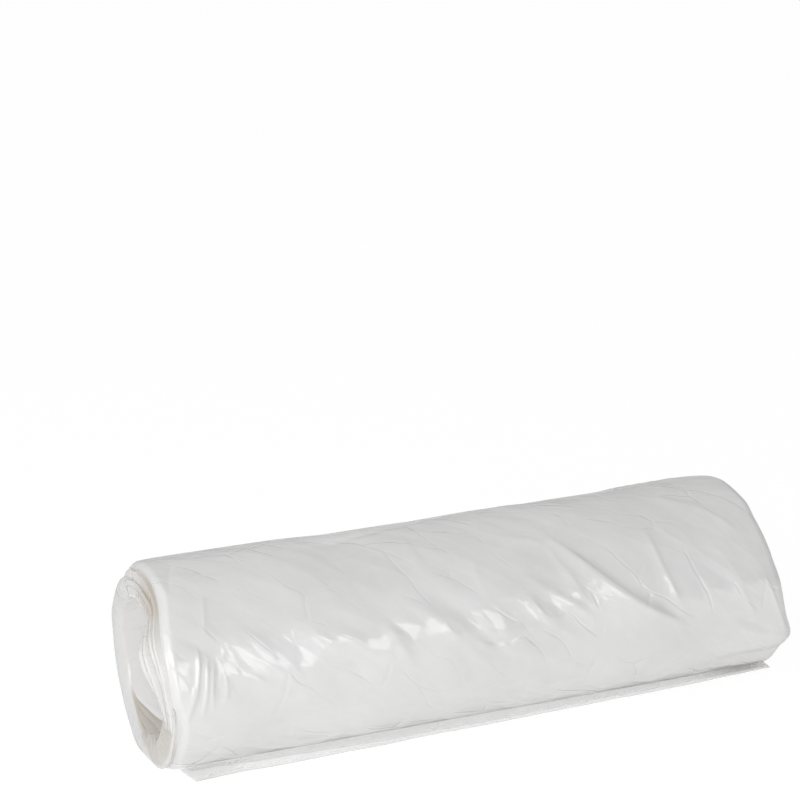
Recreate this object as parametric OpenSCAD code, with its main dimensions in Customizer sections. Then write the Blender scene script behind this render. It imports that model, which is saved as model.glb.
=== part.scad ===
// A roll of bin bags, lying on its side with its loose end in front.
// It is one long band of flat-folded film, wound round an empty middle. The band is modelled
// as one spiral solid, and each of its turns stands for a bundle of the real film's layers.
// X runs along the roll, -Y is the front, where the tail lies, and Z = 0 is the table.

/* [Roll] */
// Length of the roll, which is the width of the folded film
roll_length = 350; // [250:5:450]
// Diameter of the wound roll under its loose outer turn, before it settles
roll_d = 99.5; // [80:1:130]
// Turns that the wall shows at its ends
turns = 5; // [3:1:6]
// Thickness of one turn, a bundle of film layers
film_t = 1.9; // [1:0.1:2.4]
// Air between one turn and the next
turn_gap = 0.7; // [0.4:0.1:1.2]
// Height that the soft roll loses on its flat spot
settle = 1.6; // [0.5:0.1:3]

/* [Tail] */
// Reach of the loose tail in front of the roll's lowest line
tail_reach = 25; // [20:1:45]
// How much further the tail reaches at its left corner than in its middle
tail_skew = 5; // [-10:1:10]
// How far the tail is shifted towards the right end
tail_shift = 6; // [0:1:15]
// Thickness at the film's cut edges
edge_t = 1; // [0.5:0.1:1]

/* [Ends] */
// How far the left end is out of square
left_slant = 13; // [0:1:30]
// Where the left end is set back most, in degrees from underneath towards the back
left_slant_at = 65; // [0:5:355]
// How far the right end is out of square
right_slant = 19; // [0:1:30]
// Where the right end is set back most, in degrees from underneath towards the back
right_slant_at = 195; // [0:5:355]
// How far the outer turn was pulled along the roll, past the turns inside it
outer_pull = 6; // [0:0.5:10]

/* [Slack film] */
// How far the loose outer turn stands off the turn inside it
slack_h = 1.2; // [0:0.1:2]
// How much further it stands off at the right end, where the roll is loosest
right_loose = 1.6; // [0:0.1:4]
// Length over which it draws in again towards each end
shoulder_length = 14; // [6:1:30]
// Height of the soft waves in the loose outer turn
wave_h = 0.7; // [0:0.1:1.5]
// Height of its creases
crease_h = 2.4; // [0:0.1:4]
// Half the width of a crease, from its ridge to its foot
crease_w = 14; // [8:1:25]

/* [Smoothness] */
// Segments round the outer turn
outer_segments = 50; // [24:2:72]
// Segments round each turn inside
inner_segments = 24; // [18:2:36]
// Stretches along each turn inside
inner_stretches = 6; // [4:1:10]
// Stretches of the outer turn along one of those
finer = 4; // [2:2:6]

/* [Hidden] */

turn_pitch = film_t + turn_gap;
roll_r = roll_d / 2;
axis_z = roll_r - settle;
tail_segments = 4;
outer_stretches = inner_stretches * finer;

// Rows run across the film, one after another from the tail's cut edge to the innermost edge.
// Rows up to last_fine carry the finer spacing along the roll.
last_fine = tail_segments + outer_segments;
last_row = last_fine + (turns - 1) * inner_segments;

// Angle wound since the roll's lowest line, in degrees. It is negative in the tail.
function wound(row) =
    row < tail_segments ? (row - tail_segments)
    : row <= last_fine ? 360 * (row - tail_segments) / outer_segments
    : 360 * (1 + (row - last_fine) / inner_segments);

// Each crease: from a place to another on the outer turn, as shares of the length from the
// middle and degrees wound, then its height as a share of crease_h.
creases = [
    // the long diagonal crease over the front, with shorter ones fanning out beside it
    [0.09, 213, 0.28, 274, 1.0],
    [0.25, 225, 0.29, 269, 0.6],
    [0.04, 235, 0.15, 269, 0.7],
    // the low fold along the top
    [-0.20, 199, 0.14, 180, 0.6],
    // the folded corner near the right end
    [0.38, 262, 0.46, 276, 0.8],
    // short ridges on the left half of the front
    [-0.43, 240, -0.32, 273, 0.4],
    [-0.22, 250, -0.20, 268, 0.5],
    // long slack folds over the back
    [-0.22, 120, 0.05, 75, 0.8],
    [0.12, 95, 0.38, 130, 0.7],
    [-0.42, 60, -0.22, 100, 0.5]
];

// Distance from a point to the stretch between two others, all on the flattened film
function stretch_distance(p, from, to) =
    let(run = to - from, share = max(0, min(1, (p - from) * run / (run * run))))
    norm(p - from - share * run);

// A place on the flattened film, in millimetres: along the roll and round it
function flattened(along_share, angle) = [along_share * roll_length, angle * PI / 180 * roll_r];

// Height of one crease at a place: full at its ridge, and easing out to its foot
function crease_lift(place, crease) =
    let(
        away = stretch_distance(place, flattened(crease[0], crease[1]), flattened(crease[2], crease[3])),
        near = max(0, 1 - away / crease_w)
    )
    crease_h * crease[4] * near * near;

// Soft waves of the slack film, never below the turn inside it
function wave_lift(along_share, angle) =
    wave_h * (1 + sin(360 * 1.7 * along_share + 2 * angle) * sin(3 * angle + 400 * along_share)) / 2;

// Share of the slack at an angle: it comes in behind the tail and is gone before the next turn
function slack(angle) = max(0, min(1, (angle - 15) / 40)) * max(0, min(1, (345 - angle) / 50));

// Share of the slack along the roll: the soft shoulder of the outer turn at each end
function shoulder(along_share) =
    let(fall = max(0, 1 - (0.5 - abs(along_share)) * roll_length / shoulder_length))
    1 - fall * fall;

// How far a place on the outer turn stands out from the wound roll
function lift(along_share, angle) =
    angle < 0 || angle > 360 ? 0
    : slack(angle) * (
        (slack_h + right_loose * max(0, along_share + 0.2)) * shoulder(along_share)
        + wave_lift(along_share, angle)
        + max([for (crease = creases) crease_lift(flattened(along_share, angle), crease)])
    );

// How far an end is set back at an angle: a slanting cut through the round roll
function set_back(slant, slant_at, angle) = slant * (1 + cos(angle - slant_at)) / 2;

// The outer turn is pulled along the roll, and the pull dies away over the half turn after it
function pull(angle) = outer_pull * max(0, min(1, (540 - angle) / 200));

// The tail and the film just behind it were pulled further
function tail_pull(angle) = tail_shift * max(0, min(1, (150 - angle) / 150));

function left_end(angle) =
    -roll_length / 2 + set_back(left_slant, left_slant_at, angle) + pull(angle) + tail_pull(angle);
function right_end(angle) =
    roll_length / 2 - set_back(right_slant, right_slant_at, angle) - outer_pull + pull(angle) + tail_pull(angle);

// Shares along the roll, closer together near the ends
function along(k, count) = let(share = k / count) share - sin(360 * share) / 22;

// Reach of the tail at a place along the roll: its cut edge isn't quite in line with the roll
function tail_out(x) = tail_reach - tail_skew * x / (roll_length / 2);

// Depth of the band inside the wound roll's outer face. It only starts to spiral in past the flat
// spot, so the underside is level.
flat_angle = acos(axis_z / roll_r);
function spiral_depth(angle) =
    angle < 360
        ? turn_pitch * max(0, angle - flat_angle) / (360 - flat_angle)
        : turn_pitch * angle / 360;

// One point of the band: angle wound, share of the way along, depth below the band's outer face
function band_point(angle, share, depth) =
    let(
        left = left_end(angle),
        right = right_end(angle),
        x = left + (right - left) * share,
        inside = spiral_depth(angle) + depth,
        reach = roll_r - inside + lift(x / roll_length, angle)
    )
    angle < 0
        ? [x, tail_out(x) * angle / tail_segments, depth]
        : [x, reach * sin(angle), max(inside, axis_z - reach * cos(angle))];

// Thickness of the band: it thins down towards the cut edge of the tail
function band_t(row) = row < tail_segments ? edge_t + (film_t - edge_t) * row / tail_segments : film_t;

function stretches(row) = row <= last_fine ? outer_stretches : inner_stretches;

function row_points(row) =
    [for (depth = [0, band_t(row)], k = [0:stretches(row)]) band_point(wound(row), along(k, stretches(row)), depth)];

loose_points = [for (row = [0:last_row]) each row_points(row)];

// Number of the first point of a row, and of one point in it: side 0 is the face away from the axis
fine_row = 2 * (outer_stretches + 1);
coarse_row = 2 * (inner_stretches + 1);
function row_start(row) =
    row <= last_fine ? row * fine_row : (last_fine + 1) * fine_row + (row - last_fine - 1) * coarse_row;
function number(row, side, k) = row_start(row) + side * (stretches(row) + 1) + k;

// A patch of four points, given anticlockwise as seen from outside the band, as two triangles
function patch(a, b, c, d) = [[a, c, b], [a, d, c]];

// Faces between two rows with the same spacing
function even_faces(row) =
    [for (k = [0:stretches(row) - 1]) each concat(
        patch(number(row, 0, k), number(row + 1, 0, k), number(row + 1, 0, k + 1), number(row, 0, k + 1)),
        patch(number(row, 1, k), number(row, 1, k + 1), number(row + 1, 1, k + 1), number(row + 1, 1, k))
    )];

// Faces between the last fine row and the first coarse one: each coarse stretch takes a fan
function fan_side(c, side) =
    let(
        first = number(last_fine, side, c * finer),
        near = number(last_fine + 1, side, c),
        far = number(last_fine + 1, side, c + 1)
    )
    concat(
        [for (k = [0:finer - 1]) [first + k, k < finer / 2 ? near : far, first + k + 1]],
        [[first + finer / 2, near, far]]
    );
function turned(faces) = [for (face = faces) [face[0], face[2], face[1]]];
fan_faces = [for (c = [0:inner_stretches - 1]) each concat(turned(fan_side(c, 0)), fan_side(c, 1))];

// The film's four cut edges: both ends of the roll, the tail's edge and the innermost edge
function end_faces(row) =
    concat(
        patch(number(row, 0, 0), number(row, 1, 0), number(row + 1, 1, 0), number(row + 1, 0, 0)),
        patch(
            number(row, 0, stretches(row)), number(row + 1, 0, stretches(row + 1)),
            number(row + 1, 1, stretches(row + 1)), number(row, 1, stretches(row))
        )
    );
tail_edge = [for (k = [0:outer_stretches - 1]) each
    patch(number(0, 0, k), number(0, 0, k + 1), number(0, 1, k + 1), number(0, 1, k))];
inner_edge = [for (k = [0:inner_stretches - 1]) each
    patch(number(last_row, 0, k), number(last_row, 1, k), number(last_row, 1, k + 1), number(last_row, 0, k + 1))];

band_faces = concat(
    [for (row = [0:last_row - 1]) each row == last_fine ? [] : even_faces(row)],
    fan_faces,
    [for (row = [0:last_row - 1]) each end_faces(row)],
    tail_edge,
    inner_edge
);

// The origin lies under the middle of the roll's own box
function middle(axis) =
    let(values = [for (p = loose_points) p[axis]])
    (min(values) + max(values)) / 2;
band_shift = [-middle(0), -middle(1), 0];

module bag_roll() {
    color([0.92, 0.93, 0.92])
        translate(band_shift)
            polyhedron(points = loose_points, faces = band_faces);
}

bag_roll();
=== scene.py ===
# %% [markdown]
# # A roll of bin bags, lying on its side
# The real thing is one long band of thin milky film. The bags are folded flat, joined end to
# end, and wound round a mandrel that is then drawn out, so the middle stays empty. We dress a
# plain solid model of the roll with the film that the eye really sees: a slack outer turn full
# of creases, soft rims at both ends, a lip turned out round the mouth, and a loose tail that
# lies on the table in front.

# %% The solid model
import math

import bpy
import numpy as np
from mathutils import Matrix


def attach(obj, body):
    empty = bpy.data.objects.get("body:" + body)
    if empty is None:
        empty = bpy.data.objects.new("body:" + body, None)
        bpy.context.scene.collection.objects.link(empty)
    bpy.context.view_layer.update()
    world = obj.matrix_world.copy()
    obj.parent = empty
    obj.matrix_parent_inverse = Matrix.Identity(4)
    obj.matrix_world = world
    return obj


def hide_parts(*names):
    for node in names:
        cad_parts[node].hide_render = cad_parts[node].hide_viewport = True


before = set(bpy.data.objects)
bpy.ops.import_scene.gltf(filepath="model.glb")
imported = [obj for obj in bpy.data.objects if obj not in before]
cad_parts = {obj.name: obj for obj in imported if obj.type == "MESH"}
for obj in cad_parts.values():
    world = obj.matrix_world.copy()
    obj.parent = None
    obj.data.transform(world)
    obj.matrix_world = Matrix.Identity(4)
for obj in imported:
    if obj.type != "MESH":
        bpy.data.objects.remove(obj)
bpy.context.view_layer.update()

# %% [markdown]
# ## Sizes
# Lengths are in metres and angles in degrees. An angle is counted along the film from the line
# on which the roll lies: 0 is underneath, 90 the back, 180 the top and 270 the front. The sizes
# repeat those of the solid model, so the film lies where its solid does.

# %% Sizes of the wound film
MM = 0.001
LENGTH = 350 * MM
ROLL_R = 49.75 * MM
SETTLE = 1.6 * MM
TURN_PITCH = 2.6 * MM
TURNS = 5
AXIS_Z = ROLL_R - SETTLE
FLAT_ANGLE = math.degrees(math.acos(AXIS_Z / ROLL_R))

TAIL_REACH = 27.5 * MM
TAIL_SKEW = 5 * MM
TAIL_SHIFT = 6 * MM

LEFT_SLANT, LEFT_SLANT_AT = 13 * MM, 65
RIGHT_SLANT, RIGHT_SLANT_AT = 19 * MM, 195
OUTER_PULL = 6 * MM

SLACK = 1.2 * MM
RIGHT_LOOSE = 1.6 * MM
SHOULDER = 14 * MM

flat_width = 2 * ROLL_R * math.sin(math.radians(FLAT_ANGLE))
print("the roll lies on a flat spot", round(flat_width / MM), "mm wide")

# %% [markdown]
# ## Helpers for soft shapes
# Film has no straight lines. A few small tools give it its softness: a ramp that eases in and
# out, a window made of two ramps, a bell, and a noise that is smooth and always the same,
# because its lattice of random heights is seeded.

# %% Ramp, window, bell and noise
LATTICE = 64


def ramp(value, start, stop):
    """Share of the way from start to stop, held at 0 and 1 outside, eased at both ends."""
    share = np.clip((value - start) / (stop - start), 0, 1)
    return share * share * (3 - 2 * share)


def window(value, start, full, hold, stop):
    """0 up to start, eased up to 1 at full, held until hold, and eased down to 0 at stop."""
    return ramp(value, start, full) * ramp(value, stop, hold)


def bell(value, middle, width):
    """1 in the middle, and falling off on both sides: exp of minus the squared distance from
    the middle, measured in widths."""
    return np.exp(-(((value - middle) / width) ** 2))


def lattice_corners(u, v, seed):
    """Random heights from -1 to 1 at the four corners of the lattice square round each point,
    and the point's place inside that square."""
    heights = np.random.default_rng(seed).uniform(-1, 1, (LATTICE, LATTICE))
    column, row = np.floor(u).astype(int), np.floor(v).astype(int)
    a, b = u - column, v - row
    column, row = column % LATTICE, row % LATTICE
    beside, above = (column + 1) % LATTICE, (row + 1) % LATTICE
    low, right = heights[row, column], heights[row, beside]
    up, far = heights[above, column], heights[above, beside]
    return low, right, up, far, a, b


def soft_noise(u, v, seed):
    """Heights from -1 to 1: the four heights round each point, blended with an eased weight."""
    u, v = np.broadcast_arrays(np.asarray(u, float), np.asarray(v, float))
    low, right, up, far, a, b = lattice_corners(u, v, seed)
    across, down = ramp(a, 0, 1), ramp(b, 0, 1)
    near_side = low * (1 - across) + right * across
    far_side = up * (1 - across) + far * across
    return near_side * (1 - down) + far_side * down


print("noise along a line", soft_noise(np.linspace(0, 3, 7), 0, 1).round(2))

# %% [markdown]
# ## How the film winds
# The tail lies on the table, the film passes under the roll, up the back, over the top, down
# the front, and slips inside itself. That is a spiral whose depth grows with the angle. Near the
# line of contact the circle is cut off flat, because a soft roll settles under its own weight.

# %% The spiral and its two ends
def spiral_depth(angle):
    """Depth inside the roll's outer face: nothing over the flat spot, then one pitch a turn."""
    first = TURN_PITCH * np.maximum(0, angle - FLAT_ANGLE) / (360 - FLAT_ANGLE)
    return np.where(angle < 360, first, TURN_PITCH * angle / 360)


def set_back(slant, slant_at, angle):
    """A slanting cut through a round roll: a cosine of the angle, from 0 to the whole slant."""
    return slant * (1 + np.cos(np.radians(angle - slant_at))) / 2


def film_ends(angle):
    """Left and right end of the film at an angle: the slant of each end of the roll, the pull
    of the outer turn, which dies away over half a turn, and the shift of the tail."""
    pull = OUTER_PULL * np.clip((540 - angle) / 200, 0, 1)
    tail = TAIL_SHIFT * np.clip((150 - angle) / 150, 0, 1)
    left = -LENGTH / 2 + set_back(LEFT_SLANT, LEFT_SLANT_AT, angle) + pull + tail
    right = LENGTH / 2 - set_back(RIGHT_SLANT, RIGHT_SLANT_AT, angle) - OUTER_PULL + pull + tail
    return left, right


def tail_out(x):
    """Reach of the tail in front of the line of contact: its edge isn't quite in line."""
    return TAIL_REACH - TAIL_SKEW * x / (LENGTH / 2)


def film_place(x, wound, inside, lift):
    """Points of the film. From 0 up, wound is an angle: a point on a circle whose radius shrinks by
    its depth inside and grows by its lift, cut off level with its own layer near the table.
    From -1 to 0 it is a share of the tail, which lies flat."""
    angle = np.radians(np.maximum(wound, 0))
    reach = ROLL_R - inside + lift
    y = reach * np.sin(angle)
    z = np.maximum(inside, AXIS_Z - reach * np.cos(angle))
    in_tail = wound < 0
    y = np.where(in_tail, tail_out(x) * wound, y)
    z = np.where(in_tail, inside + lift, z)
    return np.stack([x + 0 * y, y, z], axis=-1)


print("the tail reaches", [round(tail_out(end) / MM, 1) for end in (-LENGTH / 2, LENGTH / 2)], "mm out")

# %% [markdown]
# ## Creases
# A crease in slack film is a ridge with a sharp top, a soft foot, and often a shallow valley on
# one side. We lay the film out flat, measure each point's distance from a short line on it,
# and raise the film near that line. The large creases are listed one by one where they lie on the
# real roll. Small ones are strewn over the whole film with a seeded random draw, most of them
# running slantwise, the way the film was pulled while it was wound.

# %% Creases on the flattened film
# Each crease: millimetres from the middle and degrees wound at its two ends, its height, how
# wide its upper and its lower side are, and its bend, in millimetres. A minus makes a valley.
LARGE_CREASES = [
    # the long diagonal over the front, and the shorter ones that fan out beside it
    (38, 209, 102, 273, 2.2, 1.8, 7, 6),
    (79, 258, 108, 279, 0.8, 2, 4, -1),
    (92, 213, 104, 266, 0.7, 1.6, 3, 3),
    (36, 216, 48, 250, 0.6, 1.6, 3, 1),
    (19, 232, 51, 258, 0.7, 1.6, 3, 1),
    (19, 245, 32, 264, 0.8, 1.8, 2.4, 1),
    (28, 242, 56, 265, 0.6, 2, 3, 0),
    (17, 245, 27, 259, 0.5, 1.4, 1.4, 0),
    (26, 250, 33, 261, 0.5, 1.4, 1.4, 0),
    (18, 232, 28, 240, 0.35, 1.4, 1.6, 0),
    (42, 233, 49, 250, 0.4, 1.4, 1.6, 0),
    (37, 240, 59, 260, 0.6, 2, 3, 0),
    (16, 205, 37, 214, 0.7, 1.8, 5, 0),
    # the low edge along the top
    (-70, 189, -2, 171, 0.9, 2.5, 6, 3),
    (-8, 172, 50, 168, 0.9, 2.5, 6, -1),
    # thin glinting creases in the middle
    (-33, 187, -31, 219, 0.35, 1.6, 2, 1),
    (-30, 220, -17, 234, 0.4, 1.6, 2, 1),
    (-6, 218, -2, 243, 0.4, 3, 1.8, 2),
    (-12, 264, 29, 274, 0.6, 5, 3, 4),
    (-19, 271, -8, 290, -0.5, 3, 4, 1),
    # the right half, above the long diagonal
    (99, 216, 120, 234, 0.5, 1.7, 3, 2),
    (125, 203, 143, 227, 0.7, 2, 3.5, 0),
    (110, 192, 129, 207, 0.5, 2, 3, 1),
    (108, 263, 127, 256, 0.4, 2, 3, -1),
    # the folded corner near the right end
    (134, 259, 154, 256, 0.6, 1.7, 3.5, -1),
    (136, 257, 147, 279, 0.4, 1.7, 2.5, 0),
    (152, 255, 166, 291, 0.9, 1.8, 2.4, 0),
    (136, 283, 172, 295, 1.3, 1.8, 4, 1),
    (137, 278, 158, 289, -0.9, 2.5, 2, 0),
    # patches that catch the light on the left half of the front
    (-102, 240, -83, 259, 0.7, 3, 3, 0),
    (-59, 247, -47, 272, 0.6, 1.8, 4, 0),
    (-30, 249, -20, 261, 0.8, 2, 3, 1),
    (-39, 267, -22, 266, 0.4, 3, 3, 2),
    (-144, 240, -112, 269, 0.6, 4, 4, -1),
    (-134, 238, -119, 256, 0.5, 3, 3, -2),
    (-145, 255, -115, 271, 0.4, 3, 3, 2),
    # the puckers behind the left rim
    (-157, 243, -163, 276, 1.3, 1.3, 1.6, -1),
    (-153, 248, -157, 280, 1.3, 1.3, 1.6, 0),
    (-150, 252, -152, 278, 1.1, 1.4, 1.7, 1),
    (-146, 258, -147, 276, 0.8, 1.6, 2, -2),
    (-161, 262, -165, 284, 0.9, 1.3, 1.6, 0),
    (-147, 213, -153, 238, 0.4, 1.6, 1.8, 0),
    (-165, 177, -168, 206, 1.1, 1.6, 2.2, 1),
    (-150, 181, -162, 208, -0.7, 3, 5, 1),
    # long slack folds over the back and underneath
    (-80, 122, 20, 74, 1.6, 3, 8, 4),
    (40, 94, 134, 132, 1.3, 3, 7, -5),
    (-148, 58, -76, 102, 1.0, 3, 6, 4),
    (70, 60, 120, 86, 0.9, 2, 5, 2),
    (-30, 140, 40, 158, 0.7, 2, 6, 3),
    (-150, 128, -110, 150, 0.8, 2, 5, -3),
    (90, 150, 150, 166, 0.8, 2, 5, 3),
]


def strewn_creases(count, seed):
    """Small creases: random places over the whole film, lengths of 10 to 56 mm, most of them
    running down and to the right, and the longer the higher and wider."""
    draw = np.random.default_rng(seed)
    creases = []
    for _ in range(count):
        x, angle = draw.uniform(-172, 172), draw.uniform(20, 338)
        length = 10 + 46 * draw.uniform() ** 2
        slope = math.radians(draw.normal(42, 18))
        dx, dy = length / 2 * math.cos(slope), length / 2 * math.sin(slope)
        turn = math.degrees(dy * MM / ROLL_R)
        height = (0.12 + 0.009 * length) * draw.uniform(0.4, 1.2)
        sides = draw.uniform(1.6, 4.5, 2) * (0.8 + 0.012 * length)
        creases.append((x - dx, angle - turn, x + dx, angle + turn, height, *sides, draw.normal(0, 1.5)))
    return creases


def round_mm(angle):
    """How far round the outer turn an angle lies, in millimetres."""
    return np.radians(angle) * ROLL_R / MM


def crease_height(x, angle, creases):
    """Sum of the creases: each falls off from its bent line as exp(-(distance / side width)^1.15),
    with a width of its own above and below the line, and fades at its two ends."""
    along, around = x / MM, round_mm(angle)
    height = np.zeros(np.broadcast(along, around).shape)
    for x0, a0, x1, a1, tall, upper, lower, bend in creases:
        start = np.array([x0, round_mm(a0)])
        run = np.array([x1, round_mm(a1)]) - start
        length = math.hypot(*run)
        run /= length
        share = ((along - start[0]) * run[0] + (around - start[1]) * run[1]) / length
        off_line = (around - start[1]) * run[0] - (along - start[0]) * run[1]
        side = off_line - bend * 4 * share * (1 - share)
        width = np.where(side < 0, upper, lower)
        height += tall * window(share, -0.1, 0.3, 0.7, 1.1) * np.exp(-np.abs(side / width) ** 1.15)
    return height * MM


SMALL_CREASES = strewn_creases(90, 11)
print("creases:", len(LARGE_CREASES), "placed by hand and", len(SMALL_CREASES), "strewn")

# %% [markdown]
# Between its creases slack film breaks up into facets, flat pieces that meet in sharp straight
# folds, as in crumpled paper. So we take a lattice of random heights again, but join its points
# with flat triangles instead of a smooth blend. The lattice lies slantwise and is stretched, the
# way the film was pulled, and a noise bends it so that it doesn't show.

# %% Facets
# Heading of the lattice in degrees from the roll's axis, length and width of a facet, and height,
# in millimetres.
FACETS = [(44, 34, 13, 0.85), (30, 19, 8, 0.38), (55, 10, 4.5, 0.14)]


def crumple(u, v, seed):
    """Heights from -1 to 1 on a square lattice, each square split into two flat triangles."""
    low, right, up, far, a, b = lattice_corners(u, v, seed)
    first = low + (right - low) * a + (up - low) * b
    second = far + (up - far) * (1 - a) + (right - far) * (1 - b)
    return np.where(a + b < 1, first, second)


def facets(x, angle):
    """Sum of crumpled lattices of several sizes."""
    along, around = x / MM, round_mm(angle)
    height = 0
    for number, (heading, length, width, tall) in enumerate(FACETS):
        turn = math.radians(heading)
        down = (along * math.cos(turn) + around * math.sin(turn)) / length
        across = (around * math.cos(turn) - along * math.sin(turn)) / width
        down = down + 0.5 * soft_noise(across / 2, down / 2, 40 + number)
        across = across + 0.5 * soft_noise(down / 2 + 9, across / 2, 50 + number)
        height = height + tall * crumple(down, across, 60 + number)
    return height * MM


print("facets stand up to", sum(facet[3] for facet in FACETS), "mm high")

# %% [markdown]
# ## Slack of the outer turn
# The outermost turn is the loosest. It stands off the roll by a millimetre or more, most of all
# at the right end, and swells and sinks in long soft waves. At the tail and where it slips
# inside, the slack has to be gone, or the layers would cut through each other.

# %% Lift of the outer turn
TUCK = 3.5 * MM
RIM_DROP = 0.9 * MM
STANDOFF = 0.35 * MM
SOFT_FLOOR = 0.6 * MM
FRONT_BAND = (222, 242, 266, 286)
CORNER_AT, CORNER_WIDTH = 294, 9
CORNER_LIFT = 2.6 * MM
# Size of the long waves and of the patches of facets, along the roll and round it, in millimetres.
WAVE_ALONG, WAVE_ROUND = 46, 32
PATCH_ALONG, PATCH_ROUND = 30, 16


def shoulder(x, left, right):
    """Share of the slack along the roll: it draws in over the last stretch before each rim."""
    inside = np.minimum(x - left, right - x)
    return 1 - 0.45 * np.clip(1 - inside / SHOULDER, 0, 1) ** 2


def rim_share(x, angle, left, right):
    """How much a place belongs to a rim: 1 at the end and 0 a short way in. It is less on the
    right, and on the left less along the top."""
    near_left, near_right = 1 - (x - left) / TUCK, 1 - (right - x) / TUCK
    top = window(angle, 135, 160, 190, 215)
    return np.clip(near_left, 0, 1) ** 2 * (1 - 0.6 * top) + 0.3 * np.clip(near_right, 0, 1) ** 2


def outer_lift(x, angle, left, right):
    """How far the outer turn stands out from the roll: its slack, long waves, the facets, the
    creases, and a swell over the top left. The facets are strongest in a band along the front, and
    weaker where the film is taut: low in front, along the top and towards the right. A corner is
    pinched out at the right end, and the film comes in below it. Where the sum would sink below
    the turn inside, it is eased off to stay just above it. The rims tuck in."""
    held = window(angle, 12, 60, 300, 352)
    base = (SLACK + RIGHT_LOOSE * np.maximum(0, x / LENGTH + 0.2)) * shoulder(x, left, right)
    along, around = x / MM, round_mm(angle)
    waves = 0.35 * soft_noise(along / WAVE_ALONG, around / WAVE_ROUND, 3) * MM
    band = window(angle, *FRONT_BAND)
    back = ramp(angle, 165, 130)
    patchy = ramp(soft_noise(along / PATCH_ALONG, around / PATCH_ROUND, 4), -0.5, 0.35)
    loose = 0.14 + (0.3 + 0.7 * patchy) * band * (1.1 - 0.5 * ramp(along, -20, 20)) + 0.4 * back
    large = crease_height(x, angle, LARGE_CREASES)
    small = crease_height(x, angle, SMALL_CREASES) * (0.35 + 0.4 * band + 0.25 * back)
    swell = 1.5 * MM * window(angle, 120, 165, 200, 240) * ramp(along, -55, -95)
    corner = CORNER_LIFT * bell(angle, CORNER_AT, CORNER_WIDTH) * ramp(right - x, 30 * MM, 2 * MM)
    below = base * ramp(angle, 300, 312) * ramp(right - x, 60 * MM, 20 * MM)
    lift = base + STANDOFF + facets(x, angle) * loose + small + waves + large + swell + corner - below
    lift = (lift + np.sqrt(lift * lift + SOFT_FLOOR ** 2)) / 2
    rim = rim_share(x, angle, left, right)
    return (held * lift * (1 - rim) - RIM_DROP * rim) * ramp(angle, 0, 40)


top_lift = outer_lift(np.linspace(-0.15, 0.15, 7), 180, *film_ends(180))
print("lift along the top, in mm:", (top_lift / MM).round(1))

# %% [markdown]
# ## From a profile to a mesh
# The film's cross-section, cut along the roll, is a long flat loop: along the outer face, round
# a soft rim, back along the inner face, and round the other rim. Carried along the spiral, that
# loop sweeps out a closed band. Real bags are folded at their sides, so the rims are round
# folds and not sharp cuts, which is why the loop gets a half circle there.

# %% The loop
RIM_COUNT = 7


def along_shares(count, bunching):
    """Shares from 0 to 1, closer together near both ends by a sine of the share."""
    share = np.linspace(0, 1, count)
    return share - bunching * np.sin(2 * np.pi * share) / (2 * np.pi)


def film_loop(outer_count, inner_count, bunching, bulge_share=0.5):
    """The loop as three rows of numbers for each point: share of the way along the roll, how far
    it bulges past the end, and its depth, both as shares of the thickness."""
    outer, inner = along_shares(outer_count, bunching), along_shares(inner_count, bunching)[::-1]
    turn = np.linspace(0, np.pi, RIM_COUNT + 2)[1:-1]
    bulge, depth = np.sin(turn) * bulge_share, (1 - np.cos(turn)) / 2
    share = np.concatenate([outer, np.ones(RIM_COUNT), inner, np.zeros(RIM_COUNT)])
    past = np.concatenate([0 * outer, bulge, 0 * inner, -bulge])
    deep = np.concatenate([0 * outer, depth, 0 * inner + 1, 1 - depth])
    return share, past, deep


print("a loop of 5 and 3 points has", len(film_loop(5, 3, 0)[0]), "with its rims")

# %% The sweep
def end_cap(row, outer_count):
    """Closes a loop: a strip between its outer and its inner face, which has fewer points or as
    many, and one face across each rim."""
    first_inner = outer_count + RIM_COUNT
    inner = row[first_inner : len(row) - RIM_COUNT]
    match = np.round(np.linspace(0, len(inner) - 1, outer_count)).astype(int)[::-1]
    outer, opposite = row[:outer_count], inner[match]
    strip = np.stack([outer[:-1], outer[1:], opposite[1:], opposite[:-1]], axis=-1)
    right_rim = row[outer_count - 1 : first_inner + 1]
    left_rim = np.append(row[len(row) - RIM_COUNT - 1 :], row[0])
    return [tuple(dict.fromkeys(face)) for face in strip.tolist() + [right_rim.tolist(), left_rim.tolist()]]


def film_mesh(name, points, uv, marks, outer_count):
    """A closed band from rows of loops: a patch between each two rows and neighbours, and a cap
    on the first and last row. uv and the named marks are kept for the finish."""
    rows, loop = points.shape[:2]
    number = np.arange(rows * loop).reshape(rows, loop)
    here, there = number[:-1], number[1:]
    patches = np.stack([here, np.roll(here, -1, 1), np.roll(there, -1, 1), there], axis=-1)
    first_cap = [face[::-1] for face in end_cap(number[0], outer_count)]
    faces = patches.reshape(-1, 4).tolist() + first_cap + end_cap(number[-1], outer_count)

    mesh = bpy.data.meshes.new(name)
    mesh.from_pydata(points.reshape(-1, 3).tolist(), [], faces)
    mesh.polygons.foreach_set("use_smooth", np.ones(len(mesh.polygons), bool))
    corner = np.empty(len(mesh.loops), int)
    mesh.loops.foreach_get("vertex_index", corner)
    mesh.uv_layers.new(name="film").data.foreach_set("uv", uv.reshape(-1, 2)[corner].ravel())
    for mark, values in marks.items():
        values = np.broadcast_to(values, (rows, loop)).astype(np.float32)
        mesh.attributes.new(mark, "FLOAT", "POINT").data.foreach_set("value", values.ravel())
    mesh.validate()
    piece = bpy.data.objects.new(name, mesh)
    bpy.context.collection.objects.link(piece)
    print(name, "has", sum(len(face) - 2 for face in faces), "triangles")
    return piece


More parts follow.
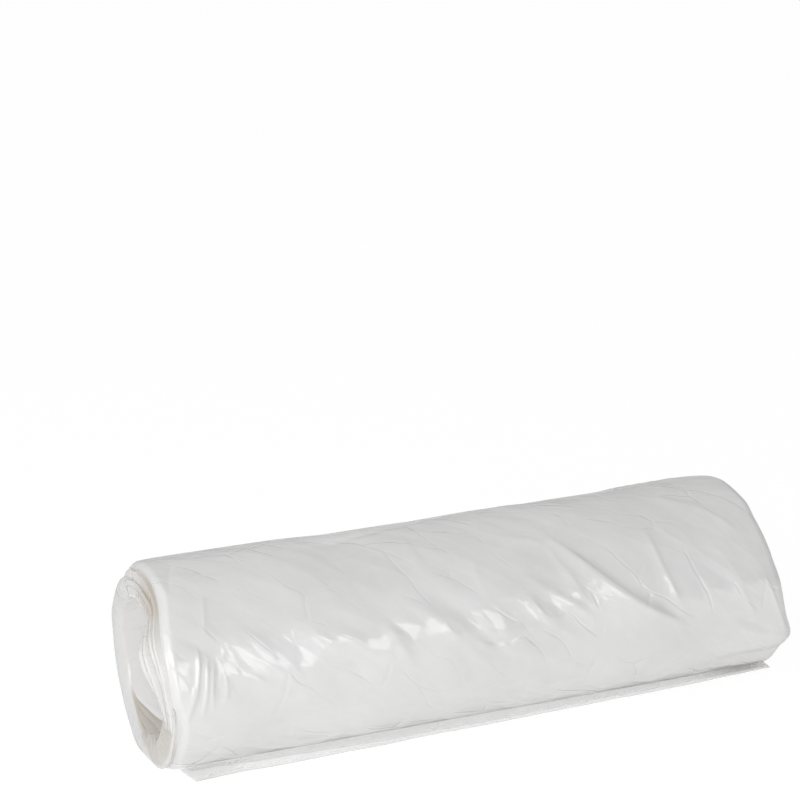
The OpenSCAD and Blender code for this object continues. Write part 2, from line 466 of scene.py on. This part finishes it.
# %% [markdown]
# ## The outer turn with its tail
# One sweep makes the tail, the first turn, and a short stretch past it that slips inside the
# roll. The rows lie closer together than the creases are wide. In front the film hangs down
# onto the tail and rests there, so only a thin dark line shows between them. The tail itself
# keeps to the table but isn't ironed flat: its edge wanders and lifts a little, and its right
# edge is cut at a slant.

# %% Outline of the outer film
FILM_T = 1.3 * MM
TAIL_T = 0.8 * MM
HANG = 1.15 * MM
TAIL_CUT = 6 * MM
OUTER_END = 400


def tail_lift(x, wound):
    """Waves of the tail, growing from nothing under the roll towards the cut edge."""
    short_waves = 0.15 * soft_noise(x / MM / 9, wound * 4, 23)
    long_waves = 0.35 * soft_noise(x / MM / 34, wound * 2, 24)
    curl = 0.5 * ramp(-wound, 0.6, 1)
    return (np.abs(short_waves + long_waves) + curl) * MM * ramp(-wound, 0.45, 0.8)


def tail_edge(x):
    """Wandering of the tail's cut edge."""
    return 0.7 * MM * soft_noise(x / MM / 26, 0, 25)


def outer_ends(rows, angle, thickness):
    """Ends of the outer film: the roll's own, less the round of the rim, with a wander. The left one
    stands out in front, and the right one over the top and at the pinched corner. The tail is cut
    at a slant."""
    left, right = film_ends(angle)
    left = left + thickness / 2 + 0.5 * MM * soft_noise(angle / 24, 0, 21)
    left = left - 3.5 * MM * window(angle, 205, 235, 265, 290)
    right = right - thickness / 2 + 0.7 * MM * soft_noise(angle / 24, 0, 22)
    right = right + 1.6 * MM * window(angle, 150, 190, 205, 220)
    right = right + 1.4 * MM * window(angle, 244, 262, 300, 320)
    right = right + 2.2 * MM * bell(angle, CORNER_AT, CORNER_WIDTH) - TAIL_CUT * np.clip(-rows, 0, 1)
    return left, right


print("the film runs from the tail to", OUTER_END, "degrees")

# %% [markdown]
# The finish has to know where on the film it is, so each point carries four marks. "inside" is
# painted shade: it turns the colour towards a dark beige where shadow falls deep between the
# layers. "hollow" is painted light: it turns the colour towards the white of a lit wall. "opacity"
# makes the tail see-through, except where it is folded or where a shadow is painted on it. "glow"
# is a painted glow that stands for light that wanders through the layers to places that no lamp
# reaches.

# %% Marks of the outer film
UPPER_EDGE_X, UPPER_EDGE_ANGLE = (-70, -2, 50), (189, 171, 168)


def painted_light_band(x, angle):
    """Where painted light shows a second, paler layer of the film along the top, behind a slanting
    edge: the white of a lit wall and a faint painted glow.
    """
    edge = np.interp(x / MM, UPPER_EDGE_X, UPPER_EDGE_ANGLE)
    return window(angle, 110, 140, edge - 1, edge + 1) * window(x / MM, -95, -65, 45, 75)


def outer_marks(x, rows, angle, deep):
    """The four marks. A shadow is painted on the tail's right corner, a dark beige, and that corner,
    its left corner and its cut edge are a little less see-through than the rest. The inner face gets
    painted shade and a painted glow, and the low front and the paler band along the top a painted glow."""
    paler = painted_light_band(x, angle)
    # painted shadow: a dark beige on the tail's right corner, where the roll stands off the table
    painted_shadow = window(-rows, 0.1, 0.4, 0.9, 1.02) * ramp(x, 125 * MM, 165 * MM)
    left_corner = ramp(-rows, 0.4, 0.5) * ramp(x, -110 * MM, -150 * MM)
    cut_edge = ramp(-rows, 0.86, 0.95)
    inner_face = ramp(deep, 0.7, 1) * ramp(angle, 60, 90)
    low_front = ramp(angle, 312, 328) * ramp(x, 150 * MM, 0)
    # painted shade on the inner face and the tail's corner; painted light and glow on the pale band, the
    # inner face and the low front
    return {
        "inside": 0.25 * deep + 0.55 * painted_shadow,
        "hollow": 0.75 * paler,
        "opacity": 1 - 0.85 * ramp(-rows, 0, 0.35) + 0.25 * painted_shadow + 0.15 * left_corner + 0.08 * cut_edge,
        "glow": 0.25 * inner_face + (0.12 * low_front + 0.06 * paler) * (1 - deep),
    }


print("behind the top, the paler layer shows by", painted_light_band(0, np.array([150, 165, 180])).round(2))

# %% Outer film
def outer_film():
    """Outer face at the spiral's depth less its lift, inner face one film thickness deeper."""
    rows = np.concatenate([
        np.linspace(-1, 0, 20)[:-1], np.linspace(0, 15, 5)[:-1],
        np.linspace(15, 345, 200)[:-1], np.linspace(345, OUTER_END, 14)])[:, None]
    outer_count = 350
    share, past, deep = film_loop(outer_count, 50, bunching=0.7)
    angle = np.maximum(rows, 0)
    thickness = np.where(rows < 0, TAIL_T + (FILM_T - TAIL_T) * (1 + rows), FILM_T)
    left, right = outer_ends(rows, angle, thickness)
    x = left + (right - left) * share + past * thickness
    lift = np.where(rows < 0, tail_lift(x, rows), outer_lift(x, angle, left, right))
    hang = HANG * ramp(angle, 300, 335)
    thickness = thickness * (1 - 0.5 * rim_share(x, angle, left, right))
    points = film_place(x, rows, spiral_depth(angle) - hang + deep * thickness, lift)
    points[..., 1] += np.where(rows < 0, tail_edge(x) * ramp(-rows, 0.4, 1), 0)
    arc = np.where(rows < 0, tail_out(x) * rows, np.radians(angle) * ROLL_R)
    uv = np.stack([x, arc], axis=-1)
    return film_mesh("outer_film", points, uv, outer_marks(x, rows, angle, deep), outer_count)


outer = outer_film()

# %% [markdown]
# The tail is a folded bag, so it has a second layer on top, as see-through as the first. Its edge
# lies further back at the left corner and comes up to the first one towards the middle.

# %% Upper layer of the tail
PLY_T = 0.3 * MM
PLY_GAP = 0.15 * MM
PLY_OPACITY = 0.11
PLY_START = 9 * MM
PLY_LEFT_IN, PLY_RIGHT_IN = 3 * MM, 2 * MM
# Millimetres along the roll, and how far the layer's edge stands back from the tail's there.
PLY_STEPS = {-160: 13, -140: 11.5, -118: 8, -95: 7, -70: 4.5, -45: 2.5, -10: 1.8, 150: 1.4}


def tail_ply():
    """A flat band from under the roll to an edge that stands back from the tail's by PLY_STEPS."""
    rows = np.linspace(0, 1, 24)[:, None]
    count = 260
    share, past, deep = film_loop(count, count, bunching=0.3)
    left, right = film_ends(np.array([[0.0]]))
    left, right = left + PLY_LEFT_IN, right - PLY_RIGHT_IN - TAIL_CUT * rows
    x = left + (right - left) * share + past * PLY_T
    back = np.interp(x / MM, list(PLY_STEPS), list(PLY_STEPS.values())) * MM
    y = PLY_START + (tail_out(x) - back - PLY_START) * rows
    wound = -y / tail_out(x)
    under = TAIL_T + (FILM_T - TAIL_T) * (1 + wound) + tail_lift(x, wound)
    points = np.stack([x, -y + tail_edge(x) * rows, under + PLY_GAP + deep * PLY_T], axis=-1)
    uv = np.stack([x, -y], axis=-1)
    return film_mesh("tail_ply", points, uv, {"opacity": PLY_OPACITY}, count)


ply = tail_ply()

# %% [markdown]
# ## The turns inside
# Only their rims and the wall of the hollow are ever seen. Each turn is a bundle of many thin
# layers, and the bundles lie so close that their rims merge into one soft lip with faint lines
# in it. In front the bundles slid past each other, as the tubes of a telescope do: each stands
# out further to the left than the one round it, and one narrow crevice stays open between them.

# %% Rims of the inner turns
BUNDLE_T = 2.85 * MM
ROUND_LIP = 3.2 * MM
NEAR_AT, NEAR_WIDTH = 244, 27
# How far the rims stand out to the left, in millimetres, at the first and the last inner turn,
# with the angle and the width of the bell round it. A minus sets them back.
RIM_BELLS = [(1.5, 8, NEAR_AT, NEAR_WIDTH), (-3, -3, 205, 18), (-3.4, -3.4, 318, 24)]
CREVICE_DEPTH = 1.8


def end_wave(around):
    """Wave of the left end round the roll, shared by all turns."""
    return 0.8 * MM * soft_noise(np.cos(np.radians(around)) * 3, np.sin(np.radians(around)) * 3, 31)


def rims_out(around, through):
    """How far the rims stand out at an angle and a share of the way through the inner turns: the sum
    of the bells, less the crevice, which is a bell in both."""
    bells = sum(
        (first + (last - first) * through) * bell(around, middle, width)
        for first, last, middle, width in RIM_BELLS)
    return (bells - CREVICE_DEPTH * bell(around, 262, 30) * bell(through, 0.42, 0.1)) * MM


def inner_slack(x, over, left):
    """Room under the outer film that the first inner turn swells to fill: the outer film's lift and
    hang, less a dip behind the near rim."""
    lift = np.maximum(outer_lift(x, over, *film_ends(over)), -RIM_DROP) + RIM_DROP
    dip = 0.8 * MM * bell(over, 250, 24) * bell(x, left, 12 * MM)
    return (lift - dip + HANG * ramp(over, 300, 335)) * window(over, 40, 75, 380, 398)


print("the rims are set back by up to", max(-first for first, *_ in RIM_BELLS), "mm")

# %% Inner turns
def inner_turns():
    """The same sweep for the angles from the end of the outer film to the innermost edge. The ends
    of all turns together follow a half ellipse, so they make a round lip, which is flatter in
    front, where they stand out. A noise that they share shifts them. The wall of the hollow has
    shallow slanting folds. Painted shade turns it a dark beige at two places, the top and the bottom
    of the mouth, and painted light whitens it between them, with a faint painted glow. A painted
    glow also lightens the crevice behind the near rim."""
    end = 360 * TURNS
    rows = np.linspace(OUTER_END, end, 620)[:, None]
    count = 64
    share, past, deep = film_loop(count, count, bunching=0.93, bulge_share=0.1)
    around, through = rows % 360, (rows - OUTER_END) / (end - OUTER_END)
    started = ramp(rows, OUTER_END, OUTER_END + 60)
    thickness = FILM_T + (BUNDLE_T - FILM_T) * started
    stagger = (end_wave(around) + 0.12 * MM * soft_noise(rows / 17, 0, 32)) * started
    half_ellipse = 1 - np.sqrt(np.clip(1 - (2 * through - 1) ** 2, 0, 1))
    round_lip = ROUND_LIP * half_ellipse * (1 - 0.6 * bell(around, NEAR_AT, NEAR_WIDTH))
    left, right = film_ends(rows)
    left = left + thickness / 2 + stagger + round_lip - rims_out(around, through) * started
    right = right - thickness / 2 + stagger * 1.6 - round_lip * 0.6
    x = left + (right - left) * share + past * thickness

    wall = ramp(rows, end - 420, end - 300) * ramp(deep, 0.4, 1)
    folds = 0.9 * (0.3 - np.abs(soft_noise((x / MM + rows / 5) / 26, (rows - x / MM) / 13, 35)))
    inside = spiral_depth(rows) - inner_slack(x, rows - 360, left) * (1 - deep) + deep * thickness
    points = film_place(x, rows, inside, wall * folds * MM)
    uv = np.stack([x, np.radians(rows) * ROLL_R + 0 * x], axis=-1)

    # painted shade: darker beige at the top and the bottom of the mouth, where shadow falls
    painted_shade = bell(around, 203, 22) + 0.6 * bell(around, 325, 26)
    deep_in = np.maximum(wall, np.exp(-np.maximum(x - left, 0) / (12 * MM)))
    # painted light: the wall of the hollow between the two places of painted shade is whitened and glows
    # faintly
    light = wall * (1 - np.minimum(painted_shade, 1))
    # painted glow that lightens the dark crevice behind the near rim
    crevice = (1 - deep) * bell(rows, 680, 32)
    marks = {
        "inside": 0.1 + 0.9 * deep_in * painted_shade,
        "hollow": light,
        "opacity": 1,
        "glow": 0.1 * light + 0.2 * crevice,
    }
    return film_mesh("inner_turns", points, uv, marks, count)


inner = inner_turns()

# %% [markdown]
# At the back of the mouth the innermost layer was turned out over the rims of all the others,
# when the mandrel was drawn out. It hides them under one smooth round lip, from the top round
# the back to the bottom. At the bottom the layer is folded over itself into a slanting wedge,
# which gets painted shade, a dark beige, and the leg that runs into the hollow gets painted light.

# %% Line of the turned-out lip
LIP_T = 0.4 * MM
LIP_FROM, LIP_TO = -84, 188
LIP_ROUND = 0.6
LIP_OUT = 3.6 * MM
# Each fold of the wedge: its share of the way across and its height in millimetres.
LIP_FOLDS = ((0.35, 0.5), (0.68, 0.7), (1, 0.9))


def wedge_share(angle, share):
    """Share of the way across the folded wedge at the bottom of the mouth: from the round lip, at 0,
    to a slanting fold, at 1, that runs deeper into the hollow the nearer it comes to the front."""
    start = 0.5 - 0.4 * ramp(angle, 25, -28)
    return (share - start) / (0.06 + 0.42 * ramp(angle, 62, -12))


def lip_wall(angle):
    """Depths of the lip where it meets the outside and the inside of the wall. Its outside sinks
    under the outer film towards the front."""
    under_film = 2.9 - 0.9 * ramp(angle, 5, -20) + 1.5 * ramp(angle, -40, -70)
    outside = np.maximum(under_film * MM, spiral_depth(np.maximum(angle, 0)) + 2.4 * MM)
    inside = 14.1 * MM + 0.0072 * MM * angle + 2.6 * MM * ramp(angle, 4, -4)
    return outside, inside


def lip_line(angle, share):
    """Middle of the sheet. Up to LIP_ROUND it follows half an ellipse from the outside of the wall
    to its inside, past the rims, and from there it runs straight into the hollow, with crumples.
    Towards the ends of the lip the ellipse shrinks into the wall. Returns x and depth."""
    closing = ramp(angle, LIP_TO, LIP_TO - 50)
    broad = ramp(angle, LIP_FROM, 10) * closing
    outside, inside = lip_wall(angle)
    bend = np.pi * np.clip(share / LIP_ROUND, 0, 1)
    leg = np.clip((share - LIP_ROUND) / (1 - LIP_ROUND), 0, 1)
    reach_in = (26 + 5 * soft_noise(angle / 26, 0, 38)) * MM
    wrinkles = 0.2 * soft_noise(angle / 8, share * 4, 36) + 0.45 * soft_noise(angle / 30, share * 2, 37)
    crumples = 0.9 * (0.4 - np.abs(soft_noise(angle / 11 + share * 6, share * 9 - angle / 40, 39)))
    folds = sum(tall * np.exp(-np.abs(wedge_share(angle, share) - at) / 0.07) for at, tall in LIP_FOLDS)
    ends = film_ends(angle + 360 * (TURNS - 1))[0] + end_wave(angle)
    x = ends + LIP_OUT - LIP_OUT * broad * np.sin(bend) + reach_in * leg + wrinkles * MM
    depth = (outside + inside) / 2 - (inside - outside) / 2 * (0.3 + 0.7 * closing) * np.cos(bend)
    return x, depth + crumples * MM * leg - folds * MM * ramp(angle, 60, 35)


print("the lip goes round", LIP_TO - LIP_FROM, "degrees of the mouth")

# %% Turned-out lip
LIP_FLAT = 45 * MM
STEP = 0.01


def turned_lip():
    """The middle of the sheet, moved to both sides by half its thickness across its slope."""
    rows = np.linspace(LIP_FROM, LIP_TO, 220)[:, None]
    count = 150
    share, past, deep = film_loop(count, count, bunching=0)
    x, depth = lip_line(rows, share)
    ahead, behind = lip_line(rows, share + STEP), lip_line(rows, share - STEP)
    run_x, run_depth = ahead[0] - behind[0], ahead[1] - behind[1]
    size = np.hypot(run_x, run_depth)
    run_x, run_depth = run_x / size, run_depth / size
    x = x + LIP_T * (run_x * past + run_depth * (0.5 - deep))
    depth = depth + LIP_T * (run_depth * past - run_x * (0.5 - deep))
    points = film_place(x, rows % 360, depth, 0 * x)
    uv = np.stack([share * LIP_FLAT + 0 * x, np.radians(rows) * ROLL_R + 0 * x], axis=-1)

    # painted shade on the folded wedge, a dark beige, and painted light and a faint glow on the leg that
    # runs into the hollow
    across = wedge_share(rows, share)
    wedge = window(across, -0.1, 0.15, 0.96, 1.04) * ramp(rows, 75, 45)
    light = ramp(share, 0.5, 0.65) * (1 - wedge)
    marks = {
        "inside": 0.1 + 0.75 * wedge,
        "hollow": 0.3 * (1 - wedge) + 0.5 * light,
        "opacity": 1,
        "glow": 0.08 * light,
    }
    return film_mesh("turned_lip", points, uv, marks, count)


lip = turned_lip()

# %% [markdown]
# ## Into place
# The solid model's origin lies under the middle of its own box, so the film moves by the same
# amount. The numbers are the middle of the solid's box before it was moved.

# %% Move the pieces, hang them on the root, and hide the solid
SHIFT = np.array([-2.83, -0.27, 0]) * MM
pieces = (outer, ply, inner, lip)

for piece in pieces:
    points = np.empty(len(piece.data.vertices) * 3)
    piece.data.vertices.foreach_get("co", points)
    points = points.reshape(-1, 3) + SHIFT
    piece.data.vertices.foreach_set("co", points.ravel())
    piece.data.update()
    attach(piece, "root")
    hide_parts("bag_roll")
    print(piece.name, "spans", points.min(0).round(4), points.max(0).round(4))

# %% [markdown]
# ## The film's finish
# Bin bag film is milky polyethylene: nearly white, faintly see-through, with a soft gloss that
# breaks into streaks and glints on every fine wrinkle. Light wanders between the layers and fills
# the shadows; here a faint painted glow stands for it, and where the film lies many layers deep in
# shadow, painted shade turns it a dark beige. A principled shader with some subsurface light gives
# the body, and a thin coat the gloss. Fine wrinkles are a bump, drawn on the flattened film so that
# they follow it round the roll.

# %% Helpers for nodes
def feed(tree, node, inputs):
    """Gives each input of a node its value, or a link where the value is another node's output."""
    for socket, value in inputs.items():
        if isinstance(value, bpy.types.NodeSocket):
            tree.links.new(value, node.inputs[socket])
        else:
            node.inputs[socket].default_value = value
    return node


def add_node(tree, kind, inputs):
    """A new node with its inputs."""
    return feed(tree, tree.nodes.new(kind), inputs)


def arithmetic(tree, operation, values, clamp=False):
    """A sum or a product of single values, clamped to 0 and 1 on request."""
    node = tree.nodes.new("ShaderNodeMath")
    node.operation = operation
    node.use_clamp = clamp
    return feed(tree, node, dict(enumerate(values))).outputs[0]


milky_film = bpy.data.materials.new("milky_film")
milky_film.use_nodes = True
film = milky_film.node_tree
film.nodes.clear()
print("empty material", milky_film.name)

# %% [markdown]
# Every pattern lies on the flattened film. A Mapping node turns it and stretches it along the way
# the film was pulled. Three patterns are enough: a soft noise, ridges that branch, and crazing,
# the net of straight folds between flat facets.

# %% Patterns on the flattened film
flat_map = film.nodes.new("ShaderNodeUVMap")
flat_map.uv_map = "film"
flat = flat_map.outputs["UV"]


def placed(vector, stretch, turn, offset=0):
    """Places on the film, stretched along one direction that is turned by some degrees."""
    mapping = film.nodes.new("ShaderNodeMapping")
    mapping.vector_type = "TEXTURE"
    rotation = (0, 0, math.radians(turn))
    values = {"Vector": vector, "Location": (offset, 0, 0), "Rotation": rotation, "Scale": (stretch, 1, 1)}
    return feed(film, mapping, values).outputs["Vector"]


def noise(scale, stretch, turn, detail):
    """A soft noise."""
    values = {"Vector": placed(flat, stretch, turn), "Scale": scale, "Detail": detail, "Roughness": 0.55}
    return add_node(film, "ShaderNodeTexNoise", values).outputs["Fac"]


def ridges(scale, stretch, turn, offset):
    """Sharp ridges that branch: a noise folded over where it passes through zero."""
    texture = film.nodes.new("ShaderNodeTexNoise")
    texture.noise_type = "RIDGED_MULTIFRACTAL"
    texture.normalize = False
    return feed(film, texture, {
        "Vector": placed(flat, stretch, turn, offset), "Scale": scale, "Detail": 1.5, "Roughness": 0.4,
        "Offset": 0.8, "Gain": 1.5, "Distortion": 0.3,
    }).outputs["Fac"]


def crazing(scale, stretch, turn, wander):
    """Flat facets with sharp edges: the distance to the nearest edge between stretched cells,
    whose places wander with a noise so that no edge is quite straight."""
    sway = add_node(film, "ShaderNodeTexNoise", {"Vector": flat, "Scale": scale / 3, "Detail": 2})
    push = film.nodes.new("ShaderNodeVectorMath")
    push.operation = "MULTIPLY_ADD"
    feed(film, push, {0: sway.outputs["Color"], 1: (wander, wander, wander), 2: flat})
    cells = film.nodes.new("ShaderNodeTexVoronoi")
    cells.voronoi_dimensions = "2D"
    cells.feature = "DISTANCE_TO_EDGE"
    values = {"Vector": placed(push.outputs["Vector"], stretch, turn), "Scale": scale}
    return feed(film, cells, values).outputs["Distance"]


print("patterns are drawn on the UV map", flat_map.uv_map)

# %% Helpers for range, colour and bump
def curve(value, low, high, out_low, out_high):
    """Carries a value from one range into another, held at both ends."""
    ranges = {"From Min": low, "From Max": high, "To Min": out_low, "To Max": out_high}
    return add_node(film, "ShaderNodeMapRange", {"Value": value, **ranges}).outputs["Result"]


def blend(share, colour_a, colour_b):
    """Mixes two colours, or the output of another mix, by a share."""
    mix = film.nodes.new("ShaderNodeMix")
    mix.data_type = "RGBA"
    return feed(film, mix, {"Factor": share, 6: colour_a, 7: colour_b}).outputs[2]


def mark(name):
    """One of the marks that the pieces carry."""
    node = film.nodes.new("ShaderNodeAttribute")
    node.attribute_name = name
    return node.outputs["Fac"]


def stacked_bumps(bumps):
    """Bumps on top of each other, the lowest first: height, distance and strength of each."""
    normal = None
    for height, distance, strength in bumps:
        values = {"Height": height, "Distance": distance, "Strength": strength}
        if normal:
            values["Normal"] = normal
        normal = add_node(film, "ShaderNodeBump", values).outputs["Normal"]
    return normal


print("nodes so far:", len(film.nodes))

# %% [markdown]
# The body is clouded in two whites, and the marks paint shade and light over it: a dark beige
# where shadow falls deep between the layers, the white of a lit wall, and a faint glow. Thin lines
# run where the film was folded once and sprang back, in patches, because a noise masks them. The
# body takes the broad wrinkles, and the coat the finest ones too, so the gloss breaks up more than
# the shading does.

# %% Film material
CLOUD_DARK, CLOUD_LIGHT = (0.87, 0.87, 0.86, 1), (0.93, 0.93, 0.925, 1)
# painted shade, a dark beige, and painted light, the white of a lit wall
PAINTED_SHADE_BEIGE = (0.64, 0.585, 0.515, 1)
LIT_WALL = (0.97, 0.965, 0.955, 1)

colour = blend(curve(noise(28, 1.6, 20, 3), 0.35, 0.65, 0, 1), CLOUD_DARK, CLOUD_LIGHT)
# painted shade: "inside" darkens towards beige where shadow falls deep between the layers
colour = blend(mark("inside"), colour, PAINTED_SHADE_BEIGE)
# painted light: "hollow" whitens the lit wall of the hollow, the lip's leg and a pale band along the top
colour = blend(mark("hollow"), colour, LIT_WALL)

line_net = curve(crazing(62, 2.8, 44, 0.022), 0, 0.05, 1, 0)
line_patches = curve(noise(38, 1.5, 10, 2), 0.48, 0.58, 0, 1)
thin_lines = arithmetic(film, "MULTIPLY", (line_net, line_patches))
body_normal = stacked_bumps([
    (thin_lines, 0.4 * MM, 0.4),
    (ridges(30, 2.6, 45, 71), 0.8 * MM, 0.5),
    (crazing(64, 2.4, 40, 0.012), 1.3 * MM, 0.5),
])
coat_normal = stacked_bumps([
    (thin_lines, 0.5 * MM, 0.7),
    (crazing(50, 2.2, 42, 0.012), 2 * MM, 0.8),
    (crazing(130, 2, 30, 0.004), 0.5 * MM, 0.5),
])

shader = add_node(film, "ShaderNodeBsdfPrincipled", {
    "Base Color": colour, "Alpha": mark("opacity"), "Normal": body_normal,
    "Roughness": curve(noise(90, 3, 50, 3), 0.3, 0.7, 0.3, 0.46),
    "IOR": 1.5, "Specular IOR Level": 0.8,
    "Subsurface Weight": 0.5, "Subsurface Radius": (1, 1, 0.97), "Subsurface Scale": 1.5 * MM,
    "Coat Weight": 1, "Coat IOR": 1.6, "Coat Roughness": 0.1, "Coat Normal": coat_normal,
    # painted glow: a faint emission where the marks say light would wander in
    "Emission Color": (1, 0.99, 0.98, 1), "Emission Strength": mark("glow"),
})
add_node(film, "ShaderNodeOutputMaterial", {"Surface": shader.outputs["BSDF"]})
# The glow is too faint to light anything else, so the renderer needn't treat it as a lamp.
milky_film.cycles.emission_sampling = "NONE"

for piece in pieces:
    piece.data.materials.append(milky_film)
print("the film's finish has", len(film.nodes), "nodes")

# %% [markdown]
# ## Table, light and camera
# The roll lies on a plain white table in soft light. A large softbox stands in front on the left,
# near the camera, a small low one in front on the right, and a faint one shines into the mouth.
# White surroundings fill the rest, so the top of the roll is greyer than its front.

# %% Table
TABLE_WHITE = (0.9, 0.9, 0.9, 1)
TABLE_GLOW = 1.1
GLOW_SHARE, GLOW_TO_CAMERA = 0.22, 0.6


def white_table():
    """A matt white plane. A share of it is glow, and more of it to the camera, so that it looks
    white and still keeps the roll's shadow."""
    bpy.ops.mesh.primitive_plane_add(size=12, location=(0, 0, 0))
    table = bpy.context.object
    table.name = "table"
    material = bpy.data.materials.new("white_table")
    material.use_nodes = True
    tree = material.node_tree
    matt = {"Base Color": TABLE_WHITE, "Roughness": 0.9, "Specular IOR Level": 0.1}
    surface = feed(tree, tree.nodes["Principled BSDF"], matt)
    glow = add_node(tree, "ShaderNodeEmission", {"Strength": TABLE_GLOW})
    seen = tree.nodes.new("ShaderNodeLightPath").outputs["Is Camera Ray"]
    share = arithmetic(tree, "MULTIPLY_ADD", (seen, GLOW_TO_CAMERA, GLOW_SHARE))
    mix = add_node(tree, "ShaderNodeMixShader", {0: share, 1: surface.outputs[0], 2: glow.outputs[0]})
    feed(tree, tree.nodes["Material Output"], {"Surface": mix.outputs[0]})
    table.data.materials.append(material)
    print("table", [round(v) for v in table.dimensions], "m")


white_table()

# %% World
DOME_LOW, DOME_HIGH = 0.34, 0.62
DOME_BEHIND, DOME_RIGHT = 0.22, -0.14
WHITE = (1, 1, 1, 1)


def surroundings():
    """White to the camera, and for light a soft grey dome, brighter overhead, behind and on the
    left."""
    world = bpy.data.worlds.new("studio")
    bpy.context.scene.world = world
    world.use_nodes = True
    tree = world.node_tree
    tree.nodes.clear()
    direction = tree.nodes.new("ShaderNodeTexCoord").outputs["Generated"]
    split = add_node(tree, "ShaderNodeSeparateXYZ", {0: direction})
    heights = {"Value": split.outputs["Z"], "To Min": DOME_LOW, "To Max": DOME_HIGH}
    upright = add_node(tree, "ShaderNodeMapRange", heights).outputs["Result"]
    behind = arithmetic(tree, "MULTIPLY_ADD", (split.outputs["Y"], DOME_BEHIND, upright), clamp=True)
    strength = arithmetic(tree, "MULTIPLY_ADD", (split.outputs["X"], DOME_RIGHT, behind))
    dome = add_node(tree, "ShaderNodeBackground", {"Color": WHITE, "Strength": strength})
    white = add_node(tree, "ShaderNodeBackground", {"Color": WHITE, "Strength": 1})
    seen = tree.nodes.new("ShaderNodeLightPath").outputs["Is Camera Ray"]
    mix = add_node(tree, "ShaderNodeMixShader", {0: seen, 1: dome.outputs[0], 2: white.outputs[0]})
    add_node(tree, "ShaderNodeOutputWorld", {"Surface": mix.outputs[0]})


surroundings()
print("the dome's strength goes from", DOME_LOW, "to", DOME_HIGH, "overhead")

# %% Lamps
def softbox(name, place, target, size, power):
    """A rectangular area lamp at a place, turned towards a target."""
    lamp = bpy.data.lights.new(name, "AREA")
    lamp.shape = "RECTANGLE"
    lamp.size, lamp.size_y = size
    lamp.energy = power
    holder = bpy.data.objects.new(name, lamp)
    bpy.context.collection.objects.link(holder)
    holder.location = place
    aim = np.array(target) - np.array(place)
    tilt = math.acos(-aim[2] / np.linalg.norm(aim))
    heading = math.atan2(aim[1], aim[0]) - math.pi / 2
    holder.rotation_euler = (tilt, 0, heading)
    print(name, "stands", round(float(np.linalg.norm(aim)), 2), "m away")


softbox("camera_softbox", (-0.8, -0.95, 0.48), (0, 0, 0.03), (0.9, 0.65), 5.7)
softbox("low_softbox", (0.44, -1.45, 0.3), (0, 0, 0.05), (0.32, 0.5), 1.4)
softbox("left_softbox", (-1.2, -0.35, 0.35), (-0.17, 0, 0.05), (0.5, 0.5), 0.9)

# %% [markdown]
# ## Camera
# The picture was taken with a long lens, from the front left and a little above. The pinhole
# below was worked out from the roll's outline in the 800 by 785 pixel photograph: its focal
# length in pixels, its tilt, and where it stands. The roll is turned by ROLL_YAW as the camera
# sees it, so the camera goes round the roll by that angle instead.

# %% Camera
FRAME_W = 800
FOCAL_PX = 3600
SENSOR_W = 36
CAMERA_TILT = 15.0
ROLL_YAW = 27.575
CAMERA_BACK, CAMERA_UP, CAMERA_ASIDE = 1.6909, 0.6163, 0.02754


def photo_camera():
    """A camera that far back, up and to the left, then carried round the roll by its yaw."""
    camera = bpy.data.cameras.new("camera")
    camera.sensor_width = SENSOR_W
    camera.lens = SENSOR_W * FOCAL_PX / FRAME_W
    holder = bpy.data.objects.new("camera", camera)
    bpy.context.collection.objects.link(holder)
    turn = math.radians(-ROLL_YAW)
    aside, back = -CAMERA_ASIDE, -CAMERA_BACK
    x = aside * math.cos(turn) - back * math.sin(turn)
    y = aside * math.sin(turn) + back * math.cos(turn)
    holder.location = (x, y, CAMERA_UP)
    holder.rotation_euler = (math.radians(90 - CAMERA_TILT), 0, turn)
    bpy.context.scene.camera = holder
    print("camera at", [round(v, 3) for v in holder.location])


photo_camera()
bpy.context.scene.view_settings.view_transform = "Standard"
